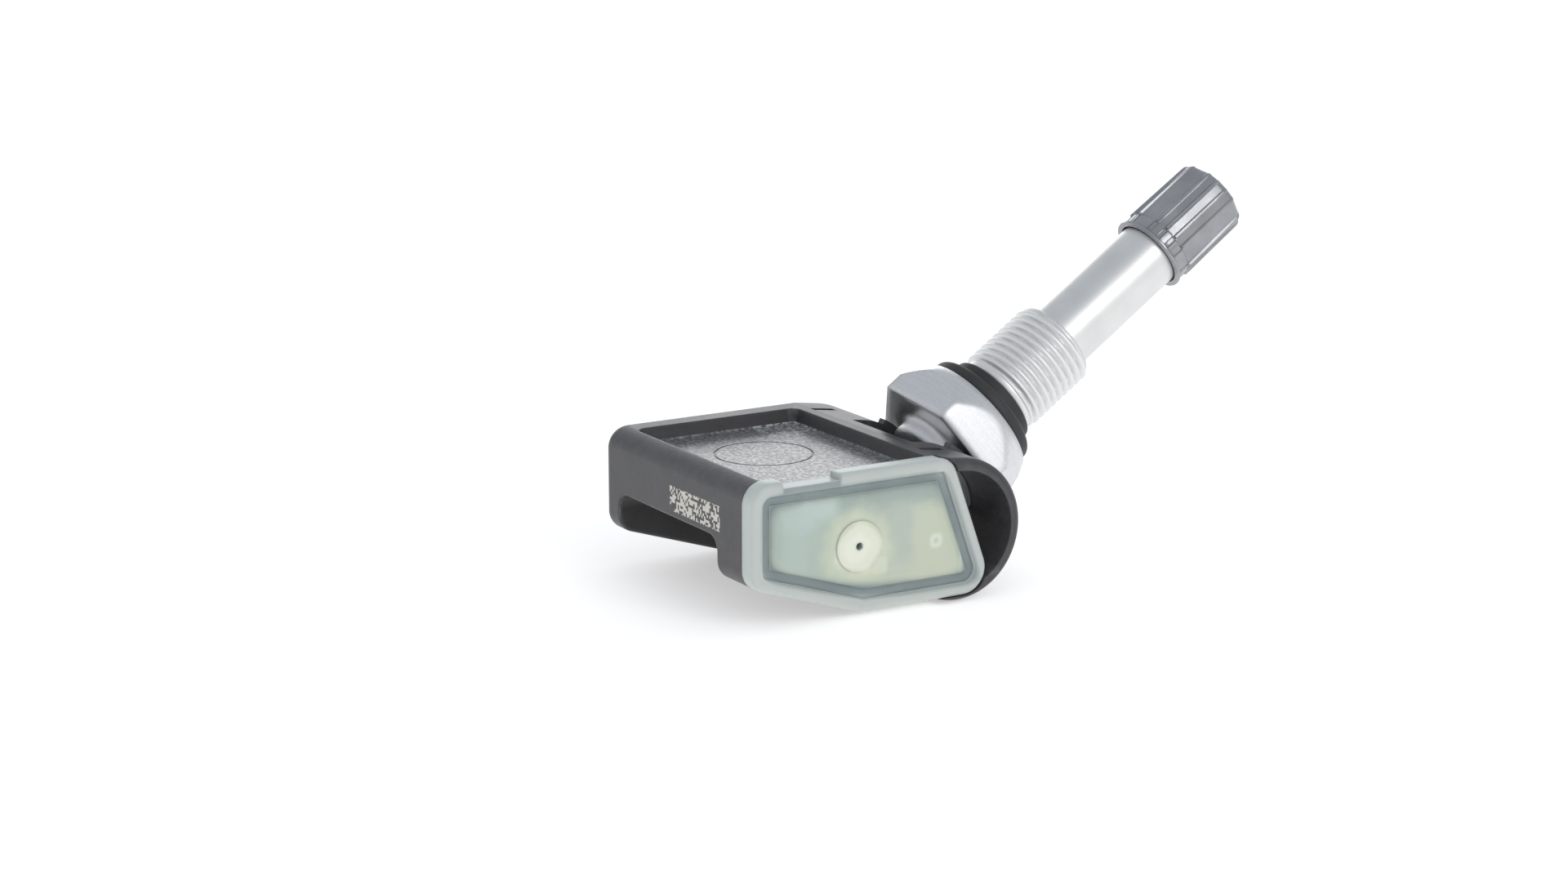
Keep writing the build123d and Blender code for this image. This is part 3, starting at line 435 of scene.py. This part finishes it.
def frosted_cover():
    """Milky weldable plastic: a pale rim, painted shade in the groove and the notch, a painted lit band above the
    keel, and soft forms showing through the field, among them painted shade and a painted highlight.
    """
    made, tree, shader = material("frosted_cover")
    stipple = use(tree, STIPPLE, Scale=0.7)
    hand = use(tree, HANDLING, Amount=1.0)
    place = use(tree, PLACE)
    inset = away_from(tree, place, COVER_EDGES + KEEL_EDGES, 3.2)
    # painted shade: the groove and the field's edge next to it are painted darker
    tone = ramp(tree, shift(tree, inset, 0.0, 1.0, 0.0, COVER_REACH), COVER_TONES_WITH_GROOVE_SHADE)
    # painted lit band: the field is painted paler in a band above the keel edges, standing in for light on the
    # panel behind
    keel = away_from(tree, place, KEEL_EDGES, 0.5)
    rising, falling = shift(tree, keel, 0.0, 1.0, 2.4, 3.1), shift(tree, keel, 0.7, 0.0, 3.6, 5.0)
    glow = maths(tree, "MULTIPLY", rising, falling)
    field = shift(tree, inset, 0.0, 1.0, 2.3, 3.4)
    tone = blend(tree, maths(tree, "MULTIPLY", glow, field), tone, (0.58, 0.62, 0.49))
    spot = add(tree, "ShaderNodeTexCoord").outputs["Object"]
    drift = add(tree, "ShaderNodeTexNoise", {"Vector": spot, "Scale": 420.0, "Detail": 2.0})
    bent = add(tree, "ShaderNodeSeparateColor", {"Color": drift.outputs["Color"]}).outputs
    across = maths(tree, "ADD", place["X"], shift(tree, bent["Red"], -1.1, 1.1))
    up = maths(tree, "ADD", place["Z"], shift(tree, bent["Green"], -1.1, 1.1))
    for middle, half, corner, softness, colour, amount in BEHIND_COVER_AND_PAINTED_LIGHT:
        crisp = softness < CRISP_BELOW
        spot_x, spot_z = (place["X"], place["Z"]) if crisp else (across, up)
        mask = shape(tree, spot_x, spot_z, middle, half, corner, softness)
        shown = maths(tree, "MULTIPLY", maths(tree, "MULTIPLY", mask, field), amount)
        tone = blend(tree, shown, tone, colour)
    # painted shade in the notch at the top of the rim
    notch = shape(tree, place["X"], place["Z"], (-19.6, 8.3), (3.5, 0.9), 0.2, 0.3)
    tone = blend(tree, maths(tree, "MULTIPLY", notch, 0.8), tone, (0.22, 0.26, 0.27))
    sides = maths(tree, "LESS_THAN", place["Front"], 0.4)
    tone = blend(tree, sides, tone, (0.52, 0.565, 0.54))
    cloudy = shift(tree, stipple["Patches"], 0.0, 0.12, 0.35, 0.75)
    tone = blend(tree, cloudy, tone, (0.66, 0.70, 0.66))
    tree.links.new(tone, shader.inputs["Base Color"])
    tree.links.new(shift(tree, hand["Smudges"], 0.24, 0.42), shader.inputs["Roughness"])
    shader.inputs["Subsurface Weight"].default_value = 0.9
    shader.inputs["Subsurface Radius"].default_value = (1.0, 1.0, 0.9)
    shader.inputs["Subsurface Scale"].default_value = 0.0008
    shader.inputs["IOR"].default_value = 1.5
    bump(tree, shader, stipple["Height"], 0.1, 0.00002, 0.0007)
    return made


def grey_cap():
    """Grey cap plastic with a metallic cast."""
    made, tree, shader = material("grey_cap")
    stipple = use(tree, STIPPLE, Scale=0.8)
    hand = use(tree, HANDLING, Amount=1.0)
    colour = ramp(tree, stipple["Patches"], ((0.3, (0.27, 0.275, 0.29)), (0.75, (0.37, 0.375, 0.385))))
    tree.links.new(colour, shader.inputs["Base Color"])
    tree.links.new(shift(tree, hand["Smudges"], 0.14, 0.34), shader.inputs["Roughness"])
    shader.inputs["Metallic"].default_value = 0.65
    bump(tree, shader, stipple["Height"], 0.5, 0.00001)
    return made


LOOKS = {
    "housing": charcoal_housing(),
    "end_cover": frosted_cover(),
    "hex_base": brushed_nickel(),
    "grommet": plain_rubber("black_rubber", (0.016, 0.016, 0.017), (0.027, 0.027, 0.028)),
    "clamp_block": turned_metal("zinc_steel", (0.42, 0.42, 0.43), (0.55, 0.55, 0.56), 0.38, 0.4, 0.00002),
    "circuit_board": moulded_plastic("board_laminate", (0.015, 0.10, 0.04), (0.03, 0.17, 0.07), 0.4, 0.6, 0.00002),
    "sensor_chip": moulded_plastic("chip_package", (0.02, 0.02, 0.021), (0.04, 0.04, 0.042), 0.55, 1.0, 0.00002),
    "port_gasket": plain_rubber("pale_gasket", (0.62, 0.62, 0.50), (0.72, 0.71, 0.58)),
    "battery_cell": turned_metal("cell_steel", (0.55, 0.55, 0.55), (0.66, 0.66, 0.66), 0.3, 0.4, 0.00001),
    "battery_tab_minus": turned_metal("tab_steel", (0.58, 0.57, 0.54), (0.68, 0.67, 0.63), 0.3, 0.4, 0.00001),
    "lf_coil_core": moulded_plastic("ferrite", (0.03, 0.03, 0.033), (0.06, 0.06, 0.064), 0.6, 0.8, 0.00003),
    "lf_coil_winding": turned_metal("copper_wire", (0.55, 0.24, 0.10), (0.66, 0.32, 0.15), 0.35, 1.5, 0.00006),
    "crystal": turned_metal("crystal_can", (0.60, 0.59, 0.56), (0.72, 0.71, 0.68), 0.28, 0.5, 0.00001),
    "chip_capacitors": moulded_plastic("ceramic", (0.38, 0.27, 0.17), (0.48, 0.35, 0.24), 0.5, 0.7, 0.00002),
    "antenna_strap": turned_metal("tinned_brass", (0.58, 0.54, 0.44), (0.70, 0.66, 0.56), 0.3, 0.4, 0.00001),
    "core_barrel": turned_metal("turned_brass", (0.62, 0.46, 0.20), (0.74, 0.58, 0.30), 0.28, 0.8, 0.00001),
    "core_gasket": plain_rubber("seal_rubber", (0.03, 0.03, 0.03), (0.05, 0.05, 0.05)),
    "core_spring": turned_metal("spring_wire", (0.52, 0.52, 0.52), (0.64, 0.64, 0.64), 0.3, 0.5, 0.00001),
}
LOOKS["valve_stem"] = turned_aluminium()
LOOKS["cap_shell"] = grey_cap()
SAME_AS = {
    "battery_tab_plus": "battery_tab_minus",
    "core_pin": "core_barrel",
    "core_cup_seal": "core_gasket",
    "cap_seal": "core_gasket",
}
for node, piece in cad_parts.items():
    piece.data.materials.clear()
    piece.data.materials.append(LOOKS[SAME_AS.get(node, node)])


# Pieces on the valve's axis
def stand_in(name, points, faces, node, body):
    """Smooth mesh piece that takes a solid's place on its body."""
    mesh = bpy.data.meshes.new(name)
    mesh.from_pydata(points, [], faces)
    mesh.update()
    mesh.shade_smooth()
    mesh.set_sharp_from_angle(angle=radians(32))
    mesh.materials.append(LOOKS[node])
    made = bpy.data.objects.new(name, mesh)
    scene.collection.objects.link(made)
    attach(made, body)
    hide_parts(node)
    return made


def revolved(name, rows, columns, node, body, through):
    """Turned piece; each row is a radius or a radius rule and a station, in millimetres."""
    points = []
    for rule, station in rows:
        for column in range(columns):
            angle = 2 * pi * column / columns
            radius = rule(angle) if callable(rule) else rule
            points.append(VALVE @ Vector((radius * cos(angle), radius * sin(angle), station)) * MM)
    faces = []
    count = len(rows)
    for row in range(count if through else count - 1):
        for column in range(columns):
            ahead = (column + 1) % columns
            low, high = row * columns, (row + 1) % count * columns
            faces.append((low + column, low + ahead, high + ahead, high + column))
    if not through:
        faces.append(tuple(range(columns))[::-1])
        faces.append(tuple((count - 1) * columns + column for column in range(columns)))
    return stand_in(name, points, faces, node, body)


# Sizes in millimetres, stations along the valve's axis
COLLAR_RADIUS = 5.5
COLLAR_LENGTH = 10.1
THREAD_PITCH = 1.0
THREAD_DEPTH = 0.5
THREAD_FROM = 0.25
THREAD_TO = 9.9
THREAD_STEPS = 12
HEX_TOP = -4.0
SPIGOT_FOOT = -8.6
RING_TOP = -0.6
SPIGOT_RADIUS = 4.2
NECK_RADIUS = 4.7
COLLAR_ROOT = COLLAR_RADIUS - THREAD_DEPTH
COLLAR_CREST = 5.15
COLLAR_END = ((5.1, 9.98), (4.95, COLLAR_LENGTH), (4.3, COLLAR_LENGTH))
STEM_RADIUS = 4.1
STEM_STATIONS = (14.0, 18.0, 22.0, 26.0)
STEM_TIP = 36.1
TIP_RADIUS = 3.85
TIP_ROOT = 3.45
TIP_CHAMFER = 3.35
TIP_THREAD_LENGTH = 7.4
TIP_THREAD_PITCH = 0.794
WELL_RADIUS = 2.65
WELL_FLOOR = 26.6
AIR_RADIUS = 2.1


def thread_radius(station):
    """Radius rule of the collar's rounded thread at a station."""
    fade_in = min(1.0, max(0.0, (station - THREAD_FROM) / 0.5))
    fade_out = min(1.0, max(0.0, (THREAD_TO - station) / 0.3))
    fade = fade_in * fade_out

    def rule(angle):
        turn = station / THREAD_PITCH - angle / (2 * pi)
        wave = 0.5 + 0.5 * cos(2 * pi * (turn - floor(turn)))
        return COLLAR_RADIUS - THREAD_DEPTH * (1.0 - wave ** 0.5 * fade)

    return rule


def stem_rows():
    """Outline of the stem: spigot, seat, thread, slim stem, cap thread, then the bore."""
    rows = [(SPIGOT_RADIUS, SPIGOT_FOOT), (SPIGOT_RADIUS, HEX_TOP), (NECK_RADIUS, HEX_TOP), (NECK_RADIUS, RING_TOP)]
    rows += [(COLLAR_ROOT, RING_TOP), (COLLAR_CREST, RING_TOP / 2), (COLLAR_ROOT, 0.0)]
    steps = int((THREAD_TO - THREAD_FROM) / THREAD_PITCH * THREAD_STEPS)
    for step in range(steps + 1):
        station = THREAD_FROM + (THREAD_TO - THREAD_FROM) * step / steps
        rows.append((thread_radius(station), station))
    rows += [*COLLAR_END, (STEM_RADIUS, COLLAR_LENGTH + 0.15)]
    cap_thread = STEM_TIP - TIP_THREAD_LENGTH
    rows += [(STEM_RADIUS, station) for station in (*STEM_STATIONS, cap_thread - 0.25)]
    place = cap_thread
    while place < STEM_TIP - 0.7:
        rows += [(TIP_RADIUS, place), (TIP_ROOT, place + TIP_THREAD_PITCH / 2)]
        place += TIP_THREAD_PITCH
    rows += [(TIP_RADIUS, STEM_TIP - 0.5), (TIP_CHAMFER, STEM_TIP), (WELL_RADIUS, STEM_TIP)]
    return rows + [(WELL_RADIUS, WELL_FLOOR), (AIR_RADIUS, WELL_FLOOR), (AIR_RADIUS, SPIGOT_FOOT)]


revolved("turned_stem", stem_rows(), 96, "valve_stem", "valve", True)

CAP_MOUTH = 26.33
CAP_TIP = 37.83
CAP_SEAL_TOP = 36.66
CAP_RADIUS = 4.95
CAP_TIP_RADIUS = 4.8
CAP_BAND_TOP = 28.23
CAP_BAND_RADIUS = 4.68
CAP_NOTCH_DEPTH = 0.2
CAP_ENTRY_RADIUS = 4.3
CAP_ENTRY_TOP = 28.9
CAP_BORE_RADIUS = 3.99
CAP_POLE = 0.3
CAP_SCALLOP = 0.8
CAP_LIP = ((4.78, 0.36), (4.93, 0.28), (CAP_RADIUS, 0.14), (4.9, 0.0))
CAP_ROUND = (88, 75, 60, 45, 30, 15, 0)
CAP_WALL = (35.5, 33.5, 31.5, 30.0, 29.0, 28.5, 28.4, 28.3, 28.22, 28.15, 27.9, 27.4, 26.98, 26.9, 26.8)
CAP_EDGE = 0.9
CAP_GROUPS = 4
CAP_TURN = radians(58.3)
CAP_RIBS = tuple(radians(place) for place in (-27.0, -9.0, 9.0, 27.0))
RIB_HALF = radians(1.7)
RIB_FOOT = radians(3.1)
NARROW_HALF = radians(9.0)
WIDE_HALF = radians(18.0)
NARROW_FLOOR = 4.62
WIDE_FLOOR = 4.46


def step_up(value, low, high):
    """Smooth step from 0 to 1."""
    share = min(1.0, max(0.0, (value - low) / (high - low)))
    return share * share * (3.0 - 2.0 * share)


def flute_place(angle):
    """Angle to the nearest rib, and the flat floor's radius there: narrow flutes in groups between wide ones."""
    turn = 2 * pi / CAP_GROUPS
    local = (angle - CAP_TURN + turn / 2) % turn - turn / 2
    to_rib = min(abs(local - rib) for rib in CAP_RIBS)
    if abs(local) < CAP_RIBS[-1]:
        return to_rib, NARROW_FLOOR / cos(NARROW_HALF - to_rib)
    return to_rib, WIDE_FLOOR / cos(WIDE_HALF - to_rib)


def cap_radius(station):
    """Radius rule of the fluted wall, with its rounded tip and the notched band at its foot."""
    share = (station - CAP_BAND_TOP) / (CAP_TIP - CAP_BAND_TOP)
    wall = CAP_RADIUS + (CAP_TIP_RADIUS - CAP_RADIUS) * max(0.0, share)
    round_start = CAP_TIP - CAP_EDGE
    into_round = max(0.0, station - round_start)
    outer = wall - CAP_EDGE + sqrt(max(0.0, CAP_EDGE ** 2 - into_round ** 2))
    open_flute = step_up(station, CAP_BAND_TOP - 0.05, CAP_BAND_TOP + 0.15)

    def rule(angle):
        to_rib, floor_radius = flute_place(angle)
        rib = 1.0 - step_up(to_rib, RIB_HALF, RIB_FOOT)
        low = min(outer, floor_radius - CAP_SCALLOP * (wall - outer))
        fluted = low + (outer - low) * rib
        notch = 1.0 - step_up(to_rib, radians(3.0), radians(4.5))
        sunk = CAP_NOTCH_DEPTH * notch * step_up(station, CAP_MOUTH + 0.45, CAP_MOUTH + 0.6)
        band = CAP_BAND_RADIUS - sunk
        return fluted * open_flute + band * (1.0 - open_flute)

    return rule


def cap_rows():
    """Outline of the cap, from the ceiling of its bore over the lip, band and fluted wall to the closed tip."""
    rows = [(CAP_POLE, CAP_TIP), (2.0, CAP_TIP), (3.2, CAP_TIP)]
    stations = [CAP_TIP - CAP_EDGE * (1.0 - sin(radians(angle))) for angle in CAP_ROUND]
    rows += [(cap_radius(station), station) for station in (*stations, *CAP_WALL)]
    rows += [(radius, CAP_MOUTH + up) for radius, up in CAP_LIP]
    rows += [(CAP_ENTRY_RADIUS, CAP_MOUTH), (CAP_ENTRY_RADIUS, CAP_ENTRY_TOP), (CAP_BORE_RADIUS, CAP_ENTRY_TOP)]
    rows += [(CAP_BORE_RADIUS, CAP_SEAL_TOP), (CAP_POLE, CAP_SEAL_TOP)]
    return rows[::-1]


revolved("fluted_cap", cap_rows(), 360, "cap_shell", "cap", False)

SPRING_LOW = 24.8
SPRING_HIGH = 33.18
SPRING_TURNS = 6
SPRING_RADIUS = 0.95
SPRING_WIRE = 0.14
SPRING_GAP = 0.02


def coil():
    """Valve core's spring, built at rest; the real one shortens towards its foot as the pin is pressed."""
    sides, steps = 8, SPRING_TURNS * 24
    inset = SPRING_WIRE + SPRING_GAP
    height = SPRING_HIGH - SPRING_LOW - 2 * inset
    points = []
    for step in range(steps + 1):
        angle = 2 * pi * SPRING_TURNS * step / steps
        station = SPRING_LOW + inset + height * step / steps
        for side in range(sides):
            lean = 2 * pi * side / sides
            radius = SPRING_RADIUS + SPRING_WIRE * cos(lean)
            spot = Vector((radius * cos(angle), radius * sin(angle), station + SPRING_WIRE * sin(lean)))
            points.append(VALVE @ spot * MM)
    faces = [tuple(range(sides)), tuple(steps * sides + side for side in range(sides))[::-1]]
    for low in range(0, steps * sides, sides):
        for side in range(sides):
            ahead = (side + 1) % sides
            faces.append((low + side, low + sides + side, low + sides + ahead, low + ahead))
    made = stand_in("pin_coil", points, faces, "core_spring", "valve")
    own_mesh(made)


coil()


# Floor, light and camera
def floor_material():
    """Pale plain floor with a faint unevenness and a little glow of its own."""
    made, tree, shader = material("pale_floor")
    cloud = add(tree, "ShaderNodeTexNoise", {"Scale": 3.0, "Detail": 2.0})
    colour = ramp(tree, cloud.outputs["Fac"], ((0.3, (0.87, 0.86, 0.855)), (0.7, (0.89, 0.88, 0.875))))
    tree.links.new(colour, shader.inputs["Base Color"])
    shader.inputs["Roughness"].default_value = 0.9
    shader.inputs["Specular IOR Level"].default_value = 0.1
    shader.inputs["Emission Color"].default_value = (1.0, 0.99, 0.985, 1.0)
    shader.inputs["Emission Strength"].default_value = 0.44
    return made


def pale_floor():
    """Large floor just under the part."""
    low = cad_box[0][2] - 0.0002
    half = 6.0
    mesh = bpy.data.meshes.new("floor")
    corners = [(-half, -half, low), (half, -half, low), (half, half, low), (-half, half, low)]
    mesh.from_pydata(corners, [], [(0, 1, 2, 3)])
    mesh.materials.append(floor_material())
    made = bpy.data.objects.new("floor", mesh)
    scene.collection.objects.link(made)


def soft_light(name, place, aim, width, height, power):
    """Rectangular soft box pointed at a place."""
    data = bpy.data.lights.new(name, "AREA")
    data.shape = "RECTANGLE"
    data.size = width
    data.size_y = height
    data.energy = power
    made = bpy.data.objects.new(name, data)
    made.location = place
    made.rotation_euler = (Vector(aim) - Vector(place)).to_track_quat("-Z", "Y").to_euler()
    scene.collection.objects.link(made)


def studio_sky():
    """Soft room: blue-grey overhead, paler towards the floor."""
    world = bpy.data.worlds.new("studio")
    world.use_nodes = True
    tree = world.node_tree
    parts = add(tree, "ShaderNodeSeparateXYZ", {"Vector": add(tree, "ShaderNodeTexCoord").outputs["Generated"]})
    height = shift(tree, parts.outputs["Z"], 0.0, 1.0, -0.1, 1.0)
    sky = ramp(tree, height, ((0.0, (0.88, 0.88, 0.88)), (0.35, (0.72, 0.74, 0.76)), (1.0, (0.56, 0.60, 0.65))))
    tree.links.new(sky, tree.nodes["Background"].inputs["Color"])
    scene.world = world


pale_floor()
studio_sky()
MIDDLE = (-0.004, 0.0, 0.002)
soft_light("front_box", (0.09, -0.79, 0.44), MIDDLE, 0.32, 0.42, 1.55)
soft_light("back_panel", (0.55, 0.92, 0.27), MIDDLE, 1.2, 0.3, 1.9)
scene.view_settings.view_transform = "Standard"

CAMERA_TURN = -30.94
CAMERA_RISE = 13.55
camera_data = bpy.data.cameras.new("camera")
camera_data.lens = 78.55
camera_data.sensor_width = 36.0
camera_data.clip_start = 0.01
camera = bpy.data.objects.new("camera", camera_data)
camera.location = (-0.22424, -0.32514, 0.08945)
camera.rotation_euler = (radians(90.0 - CAMERA_RISE), 0.0, radians(CAMERA_TURN))
scene.collection.objects.link(camera)
scene.camera = camera
